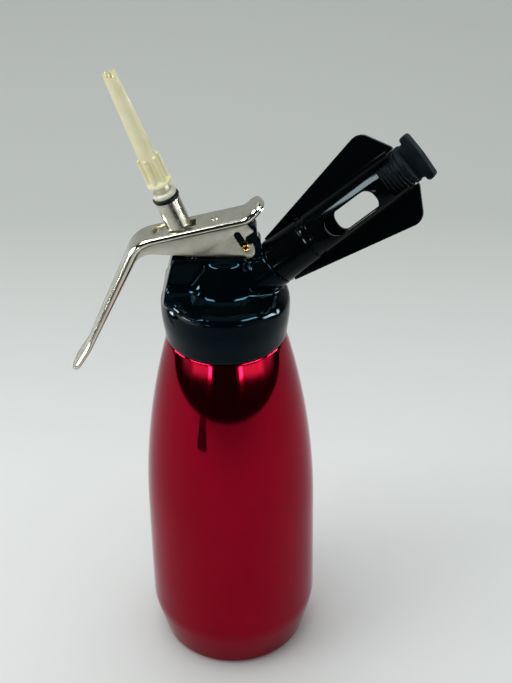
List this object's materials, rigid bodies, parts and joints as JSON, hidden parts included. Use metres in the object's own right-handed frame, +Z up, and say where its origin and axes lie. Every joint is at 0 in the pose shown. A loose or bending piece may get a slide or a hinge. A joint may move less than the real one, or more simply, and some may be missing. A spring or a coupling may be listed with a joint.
{
  "type": "whipped cream dispenser",
  "caption": "Hand-held whipped cream dispenser: tall tapered bottle, screwed head with squeeze lever, tilted valve stem with a decorating tip, and an angled winged charger holder with a screw plug",
  "frame": {"origin": "centre of the bottle's flat base, on the surface it stands on", "axes": "+Z up along the bottle, +X towards the charger holder, -X towards the lever's handle, +Y completes the right-handed frame"},
  "size_m": [0.1681, 0.084, 0.3206],
  "materials": {
    "anodised_aluminium": "deep red anodised, satin",
    "black_coated_cast": "gloss black",
    "brushed_stainless": "satin faces, polished edges",
    "polished_stainless": "polished",
    "brass": "turned",
    "black_rubber": "matt",
    "spring_steel": "drawn",
    "aged_ivory_plastic": "moulded, slightly translucent",
    "grey_beige_plastic": "moulded",
    "gloss_black_plastic": "gloss, moulded",
    "matt_black_plastic": "matt, moulded",
    "white_seal": "matt"
  },
  "bodies": {
    "bottle_body": {"bottle": "anodised_aluminium"},
    "gasket_carrier": {"head_gasket": "white_seal"},
    "head_body": {"head": "black_coated_cast", "pivot_pin": "brass", "valve_guide": "brass", "stem_o_ring": "black_rubber", "valve_spring": "spring_steel", "charger_stud": "brass", "piercing_pin": "polished_stainless", "stud_seal": "white_seal", "check_valve": "black_rubber"},
    "lever": {"lever_handle": "brushed_stainless", "lever_bracket": "brushed_stainless", "lever_rivet": "polished_stainless"},
    "valve": {"valve_stem": "polished_stainless", "stem_collar": "polished_stainless", "poppet_seal": "white_seal", "valve_poppet": "polished_stainless", "poppet_nut": "brass", "spout_o_ring": "black_rubber"},
    "adapter": {"nozzle_adapter": "grey_beige_plastic"},
    "tip": {"decorating_tip": "aged_ivory_plastic"},
    "holder": {"charger_holder": "gloss_black_plastic"},
    "plug": {"end_plug": "matt_black_plastic"}
  },
  "joints": [
    {"name": "head_lift", "type": "slide", "parent": "bottle_body", "child": "gasket_carrier", "axis": [0, 0, 1], "range_m": [0, 0.012]},
    {"name": "head_unscrew", "type": "hinge", "parent": "gasket_carrier", "child": "head_body", "pos_m": [0, 0, 0.2], "axis": [0, 0, 1], "range_deg": [0, 1080]},
    {"name": "lever_squeeze", "type": "hinge", "parent": "head_body", "child": "lever", "pos_m": [0.00995, 0, 0.2355], "axis": [0, -1, 0], "range_deg": [0, 8], "stiffness_Nm_per_rad": 1.9, "springref_deg": -5.73},
    {"name": "valve_travel", "type": "slide", "parent": "head_body", "child": "valve", "axis": [0.3338, 0, -0.9426], "range_m": [0, 0.00355], "deforming": ["valve_spring"]},
    {"name": "adapter_pull", "type": "slide", "parent": "valve", "child": "adapter", "axis": [-0.3338, 0, 0.9426], "range_m": [0, 0.009]},
    {"name": "tip_pull", "type": "slide", "parent": "adapter", "child": "tip", "axis": [-0.3338, 0, 0.9426], "range_m": [0, 0.006]},
    {"name": "holder_unscrew", "type": "hinge", "parent": "head_body", "child": "holder", "pos_m": [0.0239, 0, 0.2245], "axis": [0.7604, 0, 0.6494], "range_deg": [0, 1440]},
    {"name": "plug_unscrew", "type": "hinge", "parent": "holder", "child": "plug", "pos_m": [0.0239, 0, 0.2245], "axis": [0.7604, 0, 0.6494], "range_deg": [0, 1440]}
  ],
  "couplings": [
    {"joint": "head_lift", "follows": "head_unscrew", "m_per_rad": 0.00063662},
    {"joint": "valve_travel", "follows": "lever_squeeze", "m_per_rad": 0.0254}
  ]
}
